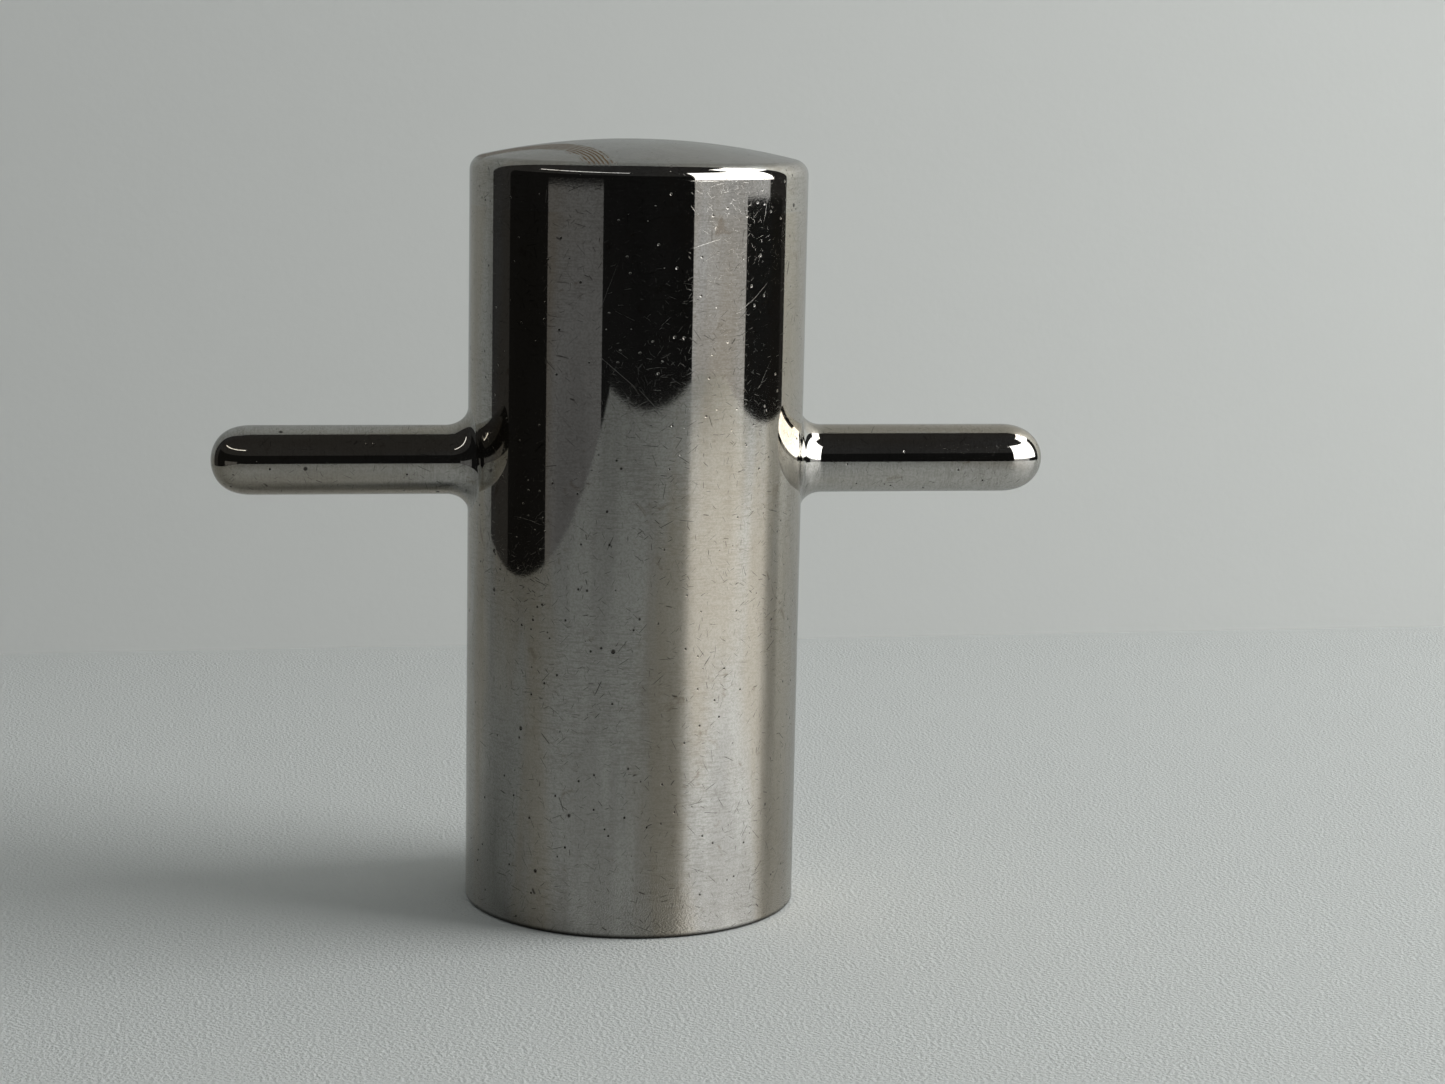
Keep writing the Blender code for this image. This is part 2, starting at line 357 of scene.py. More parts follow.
def shape_cap(tree, material):
    """The cap, whose side turns over a small shoulder into a shallow dome."""
    shoulder = (POST_RADIUS - SHOULDER_RADIUS, SHOULDER_START)
    reach = shoulder[0]
    dome_radius = (reach**2 + DOME_RISE**2 - SHOULDER_RADIUS**2) / (2 * (DOME_RISE - SHOULDER_RADIUS))
    dome_centre = (0, APEX - dome_radius)
    meeting = math.atan2(shoulder[1] - dome_centre[1], shoulder[0])
    inside = POST_BORE - SPIGOT_WALL
    under_dome = dome_radius - WALL
    profile = [
        *arc(dome_centre, under_dome, math.pi / 2, math.acos(inside / under_dome), 12),
        (inside, SPIGOT_FOOT),
        (POST_BORE, SPIGOT_FOOT),
        (POST_BORE, SEAM_HIGH - SEAM_SLOPE),
        *[(POST_RADIUS, height) for height in spread(SEAM_HIGH, SHOULDER_START - 0.0001, 12)],
        *arc(shoulder, SHOULDER_RADIUS, 0, meeting, 32)[:-1],
        *arc(dome_centre, dome_radius, meeting, math.pi / 2, 40),
    ]
    profile[0] = (0, profile[0][1])
    profile[-1] = (0, profile[-1][1])
    return run_tree("domed_cap", tree, profile, sides=POST_SIDES, ring=0, material=material)


def tip_points(side, power, steps=36):
    """A rounded end, from the straight run to the tip. A higher power makes it blunter."""
    points = []
    for i in range(steps + 1):
        along = math.sin(math.pi / 2 * i / steps)
        across = max(0.0, 1 - along**power) ** 0.5
        points.append((BAR_RADIUS * across, side * (BAR_HALF_LENGTH - TIP_LENGTH * (1 - along))))
    points[-1] = (0, side * BAR_HALF_LENGTH)
    return points


def shape_bar(tree, material):
    """One bar through the post, with a rounded end on each side."""
    straight = BAR_HALF_LENGTH - TIP_LENGTH
    profile = tip_points(-1, LEFT_TIP_POWER)[::-1]
    profile += [(BAR_RADIUS, along) for along in spread(-straight, straight, 40)[1:-1]]
    profile += tip_points(1, RIGHT_TIP_POWER)
    return run_tree(
        "cross_bar_rod", tree, profile, along_bar=True, sides=BAR_SIDES, ring=0, material=material,
    )


def fillet_section(angle):
    """The fillet's outline at one angle round the bar, as (distance from its axis, x) points. It
    is tangent to the bar at one end and to the post at the other."""
    toward_front = math.cos(angle)

    def post_surface(distance):
        return math.sqrt(POST_RADIUS**2 - (distance * toward_front) ** 2)

    outer = BAR_RADIUS + FILLET_ALONG_POST
    slope = -outer * toward_front**2 / post_surface(outer)
    bar_end = (BAR_RADIUS, post_surface(BAR_RADIUS) + FILLET_ALONG_BAR)
    post_end = (outer, post_surface(outer))
    corner = (BAR_RADIUS, post_end[1] + slope * (BAR_RADIUS - outer))
    weight = math.sqrt(0.5)
    section = []
    for i in range(FILLET_STEPS + 1):
        t = (1 - math.cos(math.pi * i / FILLET_STEPS)) / 2
        shares = ((1 - t) ** 2, 2 * weight * t * (1 - t), t**2)
        hollow = [
            sum(share * point[k] for share, point in zip(shares, (bar_end, corner, post_end))) / sum(shares)
            for k in range(2)
        ]
        section.append(hollow)
    section += [(distance, post_surface(distance)) for distance in spread(outer, BAR_RADIUS, 6)[1:]]
    return section


def shape_arm_fillet(name, side, material):
    """The saddle-shaped ring where an arm leaves the post."""
    work = bmesh.new()
    rings = []
    for i in range(BAR_SIDES):
        angle = 2 * math.pi * i / BAR_SIDES
        y, z = math.cos(angle), math.sin(angle)
        rings.append([
            work.verts.new((side * x, distance * y, BAR_HEIGHT + distance * z))
            for distance, x in fillet_section(angle)
        ])
    count = len(rings[0])
    for here, ahead in zip(rings, rings[1:] + rings[:1]):
        for j in range(count):
            k = (j + 1) % count
            work.faces.new((here[j], here[k], ahead[k], ahead[j]))
    mesh = bpy.data.meshes.new(name)
    work.to_mesh(mesh)
    work.free()
    mesh.materials.append(material)
    return finish_piece(name, mesh)


def shape_foot_disc(tree, material):
    hole = BOSS_RADIUS + EDGE_BREAK / 2
    profile = [
        (hole, DISC_LOW + EDGE_BREAK),
        (hole + EDGE_BREAK, DISC_LOW),
        (DISC_RADIUS - BEAD_LEG, DISC_LOW),
        (DISC_RADIUS, DISC_LOW + BEAD_LEG),
        (DISC_RADIUS, DISC_HIGH),
        (hole, DISC_HIGH),
    ]
    return run_tree("turned_foot_disc", tree, profile, sides=POST_SIDES // 2, ring=1, material=material)


def bead_face(start, end, steps=14):
    """Crowned face of a bead from one (radius, height) point to another, with its share."""
    length = math.dist(start, end)
    outward = ((end[1] - start[1]) / length, (start[0] - end[0]) / length)
    points = []
    for i in range(steps + 1):
        t = i / steps
        share = math.sin(math.pi * t)
        radius = start[0] + (end[0] - start[0]) * t + outward[0] * BEAD_CROWN * share
        height = start[1] + (end[1] - start[1]) * t + outward[1] * BEAD_CROWN * share
        points.append((radius, share, height))
    return points


def shape_foot_bead(tree, material):
    """Fills the bevel round the disc, from below, and stays up inside the rim."""
    profile = bead_face((POST_BORE - BEAD_LEG, DISC_LOW), (POST_BORE, DISC_LOW))
    profile.append((POST_BORE, 0, DISC_LOW + BEAD_LEG))
    return run_tree(
        "foot_seam_bead", tree, profile, sides=POST_SIDES * 2, ring=1, material=material,
        ripples=92, ripple_height=RIPPLE_HEIGHT, half_moon=1.5,
    )


def shape_boss_bead(tree, material):
    """The fillet weld on top of the disc, round the boss."""
    profile = [(BOSS_RADIUS, 0, DISC_HIGH)]
    profile += bead_face((BOSS_RADIUS + BEAD_LEG, DISC_HIGH), (BOSS_RADIUS, DISC_HIGH + BEAD_LEG))
    return run_tree(
        "boss_bead", tree, profile, sides=POST_SIDES, ring=1, material=material,
        ripples=46, ripple_height=RIPPLE_HEIGHT, half_moon=1.5,
    )


def shape_boss(tree, material):
    """The boss, drilled, countersunk and tapped from below for the holding-down stud."""
    bottom = DISC_LOW + TAPPED_DEPTH
    mouth = DISC_LOW + MOUTH_RADIUS - TAPPING_RADIUS
    run_out = bottom - 2 * THREAD_PITCH
    rows_down = round((run_out - mouth) / THREAD_PITCH * 16)
    profile = [
        (0, 0, bottom + TAPPING_RADIUS / math.tan(DRILL_POINT_HALF_ANGLE)),
        (TAPPING_RADIUS, 0, bottom),
        (TAPPING_RADIUS, 0, run_out + THREAD_PITCH / 2),
        *[(TAPPING_RADIUS, 1, height) for height in spread(run_out, mouth, rows_down)],
        *[(MOUTH_RADIUS - (MOUTH_RADIUS - TAPPING_RADIUS) * (1 - t), 1 - t**4, mouth + (DISC_LOW - mouth) * t)
          for t in spread(0, 1, 10)[1:]],
        (BOSS_RADIUS - EDGE_BREAK, 0, DISC_LOW),
        (BOSS_RADIUS, 0, DISC_LOW + EDGE_BREAK),
        (BOSS_RADIUS, 0, BOSS_TOP),
        (0, 0, BOSS_TOP),
    ]
    return run_tree(
        "tapped_boss", tree, profile, sides=BOSS_SIDES, ring=0, material=material,
        pitch=THREAD_PITCH, depth=THREAD_DEPTH, crest_radius=TAPPING_RADIUS,
    )


# ------------------------------------------------------------------------ finishes

def cell_pattern(tree, position, size):
    """One random place in each cell of a pattern: the offset from it in metres, and its colour."""
    scaled = add(tree, "ShaderNodeVectorMath", {
        0: position, "Scale": calc(tree, "DIVIDE", 1.0, size),
    }, operation="SCALE").outputs[0]
    cells = add(tree, "ShaderNodeTexVoronoi", {"Vector": scaled, "Scale": 1.0})
    away = add(tree, "ShaderNodeVectorMath", {0: scaled, 1: cells.outputs["Position"]}, operation="SUBTRACT")
    offset = add(tree, "ShaderNodeVectorMath", {
        0: away.outputs[0], "Scale": size,
    }, operation="SCALE").outputs[0]
    chance = add(tree, "ShaderNodeTexWhiteNoise", {"Vector": cells.outputs["Position"]}).outputs["Value"]
    return offset, cells.outputs["Color"], chance


def length_of(tree, vector):
    return add(tree, "ShaderNodeVectorMath", {0: vector}, operation="LENGTH").outputs["Value"]


def build_hairlines():
    """Short straight scratches in all directions. Each is where a thin slab, turned at random,
    cuts the surface near the middle of its cell."""
    tree, given, result = new_group(
        "hairlines", "ShaderNodeTree",
        {"Position": "Vector", "Cell": "Float", "Width": "Float", "Reach": "Float", "Chance": "Float"},
        {"Mask": "Float"},
    )
    offset, colour, chance = cell_pattern(tree, given["Position"], given["Cell"])
    turned = add(tree, "ShaderNodeVectorMath", {
        0: colour, 1: (0.5, 0.5, 0.5),
    }, operation="SUBTRACT").outputs[0]
    turned = add(tree, "ShaderNodeVectorMath", {0: turned}, operation="NORMALIZE").outputs[0]
    across = add(tree, "ShaderNodeVectorMath", {
        0: offset, 1: turned,
    }, operation="DOT_PRODUCT").outputs["Value"]
    across = calc(tree, "DIVIDE", calc(tree, "ABSOLUTE", across), given["Width"])
    away = calc(tree, "DIVIDE", length_of(tree, offset), given["Reach"])
    mask = product(
        tree,
        ramp(tree, across, 0.3, 1.0, 1.0, 0.0),
        ramp(tree, away, 0.6, 1.0, 1.0, 0.0),
        calc(tree, "LESS_THAN", chance, given["Chance"]),
    )
    tree.links.new(mask, result["Mask"])
    return tree


def build_pits():
    """Small round pits, of uneven size."""
    tree, given, result = new_group(
        "pits", "ShaderNodeTree",
        {"Position": "Vector", "Cell": "Float", "Radius": "Float", "Chance": "Float"},
        {"Mask": "Float"},
    )
    offset, _, chance = cell_pattern(tree, given["Position"], given["Cell"])
    away = calc(tree, "DIVIDE", length_of(tree, offset), given["Radius"])
    mask = product(
        tree,
        ramp(tree, away, 0.5, 1.0, 1.0, 0.0),
        calc(tree, "LESS_THAN", chance, given["Chance"]),
    )
    tree.links.new(mask, result["Mask"])
    return tree


def build_patches():
    """Soft cloudy patches, such as dried polish and handling marks leave."""
    tree, given, result = new_group(
        "cloudy patches", "ShaderNodeTree",
        {"Position": "Vector", "Size": "Float", "Low": "Float", "High": "Float"},
        {"Mask": "Float"},
    )
    cloud = add(tree, "ShaderNodeTexNoise", {
        "Vector": given["Position"], "Scale": calc(tree, "DIVIDE", 1.0, given["Size"]),
        "Detail": 6.0, "Roughness": 0.62, "Distortion": 0.6,
    }).outputs["Fac"]
    tree.links.new(ramp(tree, cloud, given["Low"], given["High"]), result["Mask"])
    return tree


def build_hand_polish(hairlines, pits, patches):
    """A mirror polish that has been lived with: slow waves and streaks along the drawn metal,
    short arcs from the mop across it, and hair marks, scratches, pits and stains on top. Mop
    Marks and Drawn Streaks say how many of each there are to the metre. Heights are in
    millimetres."""
    tree, given, result = new_group(
        "hand polish", "ShaderNodeTree",
        {
            "Position": "Vector", "Colour": "Color", "Roughness": "Float", "Mop Marks": "Vector",
            "Drawn Streaks": "Vector", "Scratching": "Float", "Staining": "Float", "Waviness": "Float",
        },
        {"Colour": "Color", "Roughness": "Float", "Height": "Float"},
    )
    here = given["Position"]

    def scratches(cell, width, reach, chance):
        return use_group(tree, hairlines, {
            "Position": here, "Cell": cell, "Width": width, "Reach": reach, "Chance": chance,
        })["Mask"]

    def specks(cell, radius, chance):
        return use_group(tree, pits, {
            "Position": here, "Cell": cell, "Radius": radius, "Chance": chance,
        })["Mask"]

    def cloudy(size, low, high):
        return use_group(tree, patches, {"Position": here, "Size": size, "Low": low, "High": high})["Mask"]

    def noise(position, scale, detail, distortion=0.0):
        inputs = {"Vector": position, "Scale": scale, "Detail": detail, "Distortion": distortion}
        return add(tree, "ShaderNodeTexNoise", inputs).outputs["Fac"]

    def stretched(amounts):
        return add(tree, "ShaderNodeVectorMath", {0: here, 1: amounts}, operation="MULTIPLY").outputs[0]

    handled = cloudy(0.022, 0.36, 0.60)
    fine = product(tree, scratches(0.0011, 0.00003, 0.0007, 0.8), handled)
    long = scratches(0.0120, 0.00004, 0.0050, 0.5)
    hair_marks = calc(
        tree, "MAXIMUM",
        product(tree, scratches(0.0013, 0.000045, 0.0007, 0.7), cloudy(0.008, 0.38, 0.52)),
        product(tree, scratches(0.0031, 0.00006, 0.0016, 0.6), cloudy(0.012, 0.42, 0.56)),
    )
    pitted = calc(tree, "MAXIMUM", specks(0.0024, 0.00026, 0.85), specks(0.0075, 0.00048, 0.55))
    stain = cloudy(0.0040, 0.62, 0.72)
    mop_marks = noise(stretched(given["Mop Marks"]), 1.0, 2.0, 1.2)
    streaks = noise(stretched(given["Drawn Streaks"]), 3.0, 3.0)
    waves = noise(stretched(given["Drawn Streaks"]), 1.0, 1.0)
    warmth = ramp(tree, noise(stretched(given["Drawn Streaks"]), 0.9, 3.0, 0.4), 0.42, 0.60)
    grain = noise(here, 2600.0, 3.0)

    rough = total_of(
        tree, given["Roughness"],
        product(tree, fine, given["Scratching"], 0.17),
        product(tree, long, given["Scratching"], 0.15),
        product(tree, hair_marks, given["Scratching"], 0.06),
        product(tree, pitted, 0.30),
        product(tree, stain, given["Staining"], 0.04),
        product(tree, ramp(tree, grain, 0.45, 0.75), 0.015),
    )
    height = total_of(
        tree,
        product(tree, waves, given["Waviness"]),
        product(tree, mop_marks, 0.00022),
        product(tree, grain, 0.0005),
        product(tree, long, -0.0010),
        product(tree, hair_marks, -0.0015),
        product(tree, pitted, -0.03),
    )
    colour = given["Colour"]
    for share, tone in (
        (product(tree, ramp(tree, grain, 0.43, 0.60), 0.22), (0.22, 0.20, 0.17, 1)),
        (product(tree, ramp(tree, mop_marks, 0.46, 0.62), handled, 0.32), (0.24, 0.22, 0.19, 1)),
        (product(tree, ramp(tree, streaks, 0.44, 0.62), 0.22), (0.26, 0.245, 0.23, 1)),
        (product(tree, warmth, given["Staining"], 0.42), (0.47, 0.38, 0.25, 1)),
        (product(tree, stain, given["Staining"], 0.50), (0.24, 0.18, 0.12, 1)),
        (product(tree, hair_marks, given["Scratching"], 0.80), (0.05, 0.042, 0.034, 1)),
        (product(tree, pitted, 0.9), (0.03, 0.025, 0.02, 1)),
    ):
        colour = blend(tree, share, colour, tone)
    tree.links.new(colour, result["Colour"])
    tree.links.new(rough, result["Roughness"])
    tree.links.new(height, result["Height"])
    return tree


def new_metal(name):
    """A metal with a bump in millimetres, ready to be given its colour, roughness and height."""
    material = bpy.data.materials.new(name)
    material.use_nodes = True
    tree = material.node_tree
    shader = tree.nodes["Principled BSDF"]
    shader.inputs["Metallic"].default_value = 1.0
    bump = add(tree, "ShaderNodeBump", {"Strength": 1.0, "Distance": 0.001})
    tree.links.new(bump.outputs["Normal"], shader.inputs["Normal"])
    place = add(tree, "ShaderNodeTexCoord").outputs["Object"]
    return material, tree, shader, bump, place


def polished_steel(name, polish, colour, roughness, grain, scratching=1.0, staining=1.0, waviness=0.006):
    """Steel with the hand polish. Within a millimetre of the deck its colour goes near black: a painted
    contact shadow.
    """
    material, tree, shader, bump, place = new_metal(name)
    mop_marks, drawn_streaks = grain
    surface = use_group(tree, polish, {
        "Position": place, "Colour": (*colour, 1), "Roughness": roughness,
        "Mop Marks": mop_marks, "Drawn Streaks": drawn_streaks,
        "Scratching": scratching, "Staining": staining, "Waviness": waviness,
    })
    height = add(tree, "ShaderNodeSeparateXYZ", {0: place}).outputs["Z"]
    # painted contact shadow: the colour goes near black within a millimetre of the deck
    painted_contact_shade = ramp(tree, height, 0.0003, 0.0010, 0.9, 0.0)
    base = blend(tree, painted_contact_shade, surface["Colour"], (0.02, 0.019, 0.016, 1))
    tree.links.new(base, shader.inputs["Base Color"])
    tree.links.new(surface["Roughness"], shader.inputs["Roughness"])
    tree.links.new(surface["Height"], bump.inputs["Height"])
    return material


def dull_domed_steel(name, polish, patches, colour, roughness):
    """The cap: polished down its side, and hazy on top, where the mop left a brown sweep of fine arcs. On top
    its colour also turns a darker grey."""
    material, tree, shader, bump, place = new_metal(name)
    shader.inputs["Specular IOR Level"].default_value = 0.0
    mop_marks, drawn_streaks = POST_GRAIN
    surface = use_group(tree, polish, {
        "Position": place, "Colour": (*colour, 1), "Roughness": roughness,
        "Mop Marks": mop_marks, "Drawn Streaks": drawn_streaks,
        "Scratching": 1.0, "Staining": 0.6, "Waviness": 0.004,
    })
    height = add(tree, "ShaderNodeSeparateXYZ", {0: place}).outputs["Z"]
    on_top = ramp(tree, height, SHOULDER_START + 0.0018, SHOULDER_START + 0.0026)
    sweep_at = add(tree, "ShaderNodeMapping", {
        0: place, "Location": (0.026, 0.0168, 0), "Scale": (1, 0.6, 0),
    }).outputs[0]
    ragged = add(tree, "ShaderNodeTexNoise", {"Vector": place, "Scale": 420.0, "Detail": 4.0}).outputs["Fac"]
    arcs = add(tree, "ShaderNodeTexWave", {
        "Vector": sweep_at, "Scale": 420.0, "Distortion": 2.0, "Detail": 3.0, "Detail Scale": 1.5,
    }, wave_type="RINGS", rings_direction="Z").outputs["Fac"]
    reach = calc(tree, "ADD", length_of(tree, sweep_at), product(tree, ragged, 0.003))
    sweep = product(tree, ramp(tree, reach, 0.0140, 0.0155), ramp(tree, reach, 0.0188, 0.0202, 1.0, 0.0))
    patch = use_group(tree, patches, {"Position": place, "Size": 0.012, "Low": 0.36, "High": 0.72})["Mask"]
    brown = product(
        tree, on_top,
        calc(tree, "MAXIMUM", sweep, product(tree, patch, 0.16)),
        ramp(tree, product(tree, arcs, sweep), 0.2, 0.8, 0.15, 1.0),
    )
    # the colour of the dome's top is blended towards a darker grey
    darker_grey_top = blend(tree, product(tree, on_top, 0.55), surface["Colour"], (0.26, 0.25, 0.225, 1))
    tree.links.new(blend(tree, product(tree, brown, 0.95), darker_grey_top, (0.16, 0.111, 0.068, 1)),
                   shader.inputs["Base Color"])
    haze = product(tree, on_top, ramp(tree, product(tree, arcs, sweep), 0.0, 1.0, 0.11, 0.18))
    rough = total_of(tree, surface["Roughness"], haze, product(tree, brown, 0.45))
    tree.links.new(rough, shader.inputs["Roughness"])
    tree.links.new(calc(tree, "SUBTRACT", 1.0, product(tree, brown, 0.95)), shader.inputs["Metallic"])
    lift = product(tree, on_top, sweep, arcs, 0.0006)
    tree.links.new(calc(tree, "ADD", surface["Height"], lift), bump.inputs["Height"])
    return material


def turned_steel(name, patches, colour):
    """Fine tool rings round the Z axis, with a little dried sealant and handling haze."""
    material, tree, shader, bump, place = new_metal(name)
    flat = add(tree, "ShaderNodeMapping", {0: place, "Scale": (1, 1, 0.4)}).outputs[0]
    rings = add(tree, "ShaderNodeTexWave", {
        "Vector": flat, "Scale": 900.0, "Distortion": 0.4, "Detail": 2.0,
    }, wave_type="RINGS", rings_direction="Z").outputs["Fac"]
    haze = use_group(tree, patches, {"Position": place, "Size": 0.009, "Low": 0.45, "High": 0.7})["Mask"]
    tree.links.new(blend(tree, product(tree, haze, 0.5), (*colour, 1), (0.36, 0.34, 0.31, 1)),
                   shader.inputs["Base Color"])
    tree.links.new(ramp(tree, haze, 0.0, 1.0, 0.24, 0.42), shader.inputs["Roughness"])
    tree.links.new(product(tree, rings, 0.004), bump.inputs["Height"])
    return material


def brushed_weld(name, patches, colour):
    """Weld metal, wire brushed, with straw and brown heat tint left in places."""
    material, tree, shader, bump, place = new_metal(name)
    tint = use_group(tree, patches, {"Position": place, "Size": 0.006, "Low": 0.4, "High": 0.65})["Mask"]
    tree.links.new(blend(tree, product(tree, tint, 0.7), (*colour, 1), (0.34, 0.22, 0.11, 1)),
                   shader.inputs["Base Color"])
    grain = add(tree, "ShaderNodeTexNoise", {"Vector": place, "Scale": 4000.0, "Detail": 3.0}).outputs["Fac"]
    tree.links.new(ramp(tree, grain, 0.3, 0.7, 0.30, 0.48), shader.inputs["Roughness"])
    tree.links.new(product(tree, grain, 0.02), bump.inputs["Height"])
    return material


# ------------------------------------------------------------------------ the object

# Mop marks and drawn streaks to the metre, along each axis: the marks run round the post and
# the bar, and the streaks run along them
POST_GRAIN = ((380.0, 380.0, 3200.0), (75.0, 75.0, 9.0))
BAR_GRAIN = ((3200.0, 380.0, 380.0), (9.0, 110.0, 110.0))
STEEL = (0.640, 0.632, 0.598)


def make_object():
    turning = build_turning_tree()
    beading = build_bead_tree(turning)
    tapping = build_tapping_tree(turning)
    patches = build_patches()
    polish = build_hand_polish(build_hairlines(), build_pits(), patches)

    side_steel = polished_steel("polished side", polish, STEEL, 0.028, POST_GRAIN)
    cap_steel = dull_domed_steel("cap with dull dome", polish, patches, STEEL, 0.028)
    bar_steel = polished_steel("polished bar", polish, STEEL, 0.035, BAR_GRAIN, 0.9, 1.0, 0.003)
    fillet_steel = polished_steel("polished fillets", polish, STEEL, 0.045, BAR_GRAIN, 0.7, 0.8, 0.008)
    disc_steel = turned_steel("turned foot", patches, (0.56, 0.55, 0.53))
    bead_steel = brushed_weld("brushed weld", patches, (0.50, 0.47, 0.44))

    pieces = (
        (shape_post(turning, side_steel), "post_tube", "polished_steel"),
        (shape_cap_seam(turning, side_steel), "cap_seam_weld", "polished_steel"),
        (shape_cap(turning, cap_steel), "top_cap", "polished_steel"),
        (shape_bar(turning, bar_steel), "cross_bar", "polished_bar"),
        (shape_arm_fillet("left_arm_fillet", -1, fillet_steel), "left_arm_weld", "polished_weld"),
        (shape_arm_fillet("right_arm_fillet", 1, fillet_steel), "right_arm_weld", "polished_weld"),
        (shape_foot_disc(turning, disc_steel), "foot_disc", "turned_steel"),
        (shape_boss(tapping, disc_steel), "stud_boss", "turned_steel"),
        (shape_foot_bead(beading, bead_steel), "foot_seam_weld", "raw_weld"),
        (shape_boss_bead(beading, bead_steel), "boss_weld", "raw_weld"),
    )
    for piece, node, slot in pieces:
        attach(piece, "root")
        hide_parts(node)


# ------------------------------------------------------------------------ stage

TABLE_LEFT, TABLE_RIGHT = -0.375, 0.745
TABLE_FRONT, TABLE_BACK = -0.80, 0.2305
WALL_TURN = math.radians(1.47)
WALL_TOP = 1.4
WALL_FOOT = -0.5
FAR = 3.0
HOLE_UNDER_FOOT = 0.018
CARD_BELOW_REACH = 0.7
CARD_BELOW_HEIGHT = -0.3
DARKER_IN_STEEL = 0.28
MIRROR_ONLY = {"camera": False, "diffuse": False, "shadow": False, "transmission": False}


def stage_piece(name, points, faces, material, **visible):
    mesh = bpy.data.meshes.new(name)
    mesh.from_pydata(points, [], faces)
    mesh.materials.append(material)
    piece = bpy.data.objects.new(name, mesh)
    bpy.context.scene.collection.objects.link(piece)
    for ray, shown in visible.items():
        setattr(piece, "visible_" + ray, shown)
    return piece


def plain_surface(name, colour, direct_colour, roughness, grain_height, grain_size):
    """A pale one-sided surface. It is clear from behind, so that it blocks no view. The viewer
    sees it matt. Polished steel sees its sheen, and sees it evenly darker."""
    material = bpy.data.materials.new(name)
    material.use_nodes = True
    tree = material.node_tree
    shader = tree.nodes["Principled BSDF"]
    shader.inputs["Roughness"].default_value = roughness
    place = add(tree, "ShaderNodeTexCoord").outputs["Object"]
    path = add(tree, "ShaderNodeLightPath").outputs
    darker = product(tree, path["Is Glossy Ray"], DARKER_IN_STEEL)
    tree.links.new(blend(tree, darker, (*colour, 1), (0, 0, 0, 1)), shader.inputs["Base Color"])
    grain = add(tree, "ShaderNodeTexNoise", {"Vector": place, "Scale": 1 / grain_size, "Detail": 2.0})
    bump = add(tree, "ShaderNodeBump", {"Distance": grain_height, "Height": grain.outputs["Fac"]})
    tree.links.new(bump.outputs["Normal"], shader.inputs["Normal"])
    matt = add(tree, "ShaderNodeBsdfDiffuse", {
        "Color": (*direct_colour, 1), "Normal": bump.outputs["Normal"],
    }).outputs[0]
    front = add(tree, "ShaderNodeMixShader", {
        0: path["Is Camera Ray"], 1: shader.outputs[0], 2: matt,
    }).outputs[0]
    clear = add(tree, "ShaderNodeBsdfTransparent").outputs[0]
    side = add(tree, "ShaderNodeNewGeometry").outputs["Backfacing"]
    mix = add(tree, "ShaderNodeMixShader", {0: side, 1: front, 2: clear})
    tree.links.new(mix.outputs[0], tree.nodes["Material Output"].inputs["Surface"])
    return material


def square(reach, height=0.0):
    """Corners of a level square round the Z axis."""
    signs = ((-1, -1), (1, -1), (1, 1), (-1, 1))
    return [(x * reach, y * reach, height) for x, y in signs]


def glow(name, brightness):
    """A plain neutral glow."""
    material = bpy.data.materials.new(name)
    material.use_nodes = True
    tree = material.node_tree
    tree.nodes.clear()
    shader = add(tree, "ShaderNodeEmission", {"Color": (1, 1, 1, 1), "Strength": brightness})
    tree.links.new(shader.outputs[0], add(tree, "ShaderNodeOutputMaterial").inputs["Surface"])
    return material


def back_of_table(x):
    return TABLE_BACK + x * math.tan(WALL_TURN)


def make_table_and_wall():
    """A plain pale floor and backdrop. Beyond the nearer part, where only the camera and soft
    light reach, both go on, so that every view has a floor."""
    laminate = plain_surface(
        "pale laminate", (0.60, 0.605, 0.59), (0.645, 0.655, 0.64), 0.30, 0.0003, 0.0007,
    )
    plaster = plain_surface("pale wall", (0.67, 0.68, 0.665), (0.735, 0.74, 0.72), 0.45, 0.00003, 0.002)
    near_part = [
        (TABLE_LEFT, TABLE_FRONT, 0),
        (TABLE_RIGHT, TABLE_FRONT, 0),
        (TABLE_RIGHT, back_of_table(TABLE_RIGHT), 0),
        (TABLE_LEFT, back_of_table(TABLE_LEFT), 0),
    ]
    round_a_hole = [(4, 5, 1, 0), (5, 6, 2, 1), (6, 7, 3, 2), (7, 4, 0, 3)]
    stage_piece("table", square(HOLE_UNDER_FOOT) + near_part, round_a_hole, laminate)
    stage_piece("floor_beyond", near_part + square(FAR), round_a_hole, laminate, glossy=False)

    def wall_part(name, left, right, low, **visible):
        corners = [
            (left, back_of_table(left), low),
            (right, back_of_table(right), low),
            (right, back_of_table(right), WALL_TOP),
            (left, back_of_table(left), WALL_TOP),
        ]
        stage_piece(name, corners, [(0, 1, 2, 3)], plaster, **visible)

    wall_part("wall", TABLE_LEFT, TABLE_RIGHT, WALL_FOOT)
    wall_part("wall_left", -FAR / 2, TABLE_LEFT, 0, glossy=False)
    wall_part("wall_right", TABLE_RIGHT, FAR / 2, 0, glossy=False)


# Studio cards stand round the post, where only the polish sees them. They glow at a set brightness, so what
# the polish shows of them is painted reflection. Their places are bearings in degrees from the viewer, to the
# right, and heights in metres.
VIEWER_BEARING = -8.1
CARD_DISTANCE = 0.95
CARD_FOOT = -0.5


def studio_card(name, brightness, start, end, low, high, nearer=0.0):
    """A plain upright glowing card, bent round the post and seen only in reflections: a painted reflection.
    """
    distance = CARD_DISTANCE - nearer
    steps = max(1, round((end - start) / 3))
    points = []
    for bearing in spread(start, end, steps):
        angle = math.radians(VIEWER_BEARING + bearing)
        x, y = distance * math.sin(angle), -distance * math.cos(angle)
        points += [(x, y, low), (x, y, high)]
    faces = [(2 * i, 2 * i + 2, 2 * i + 3, 2 * i + 1) for i in range(steps)]
    stage_piece(name, points, faces, glow(name, brightness), **MIRROR_ONLY)


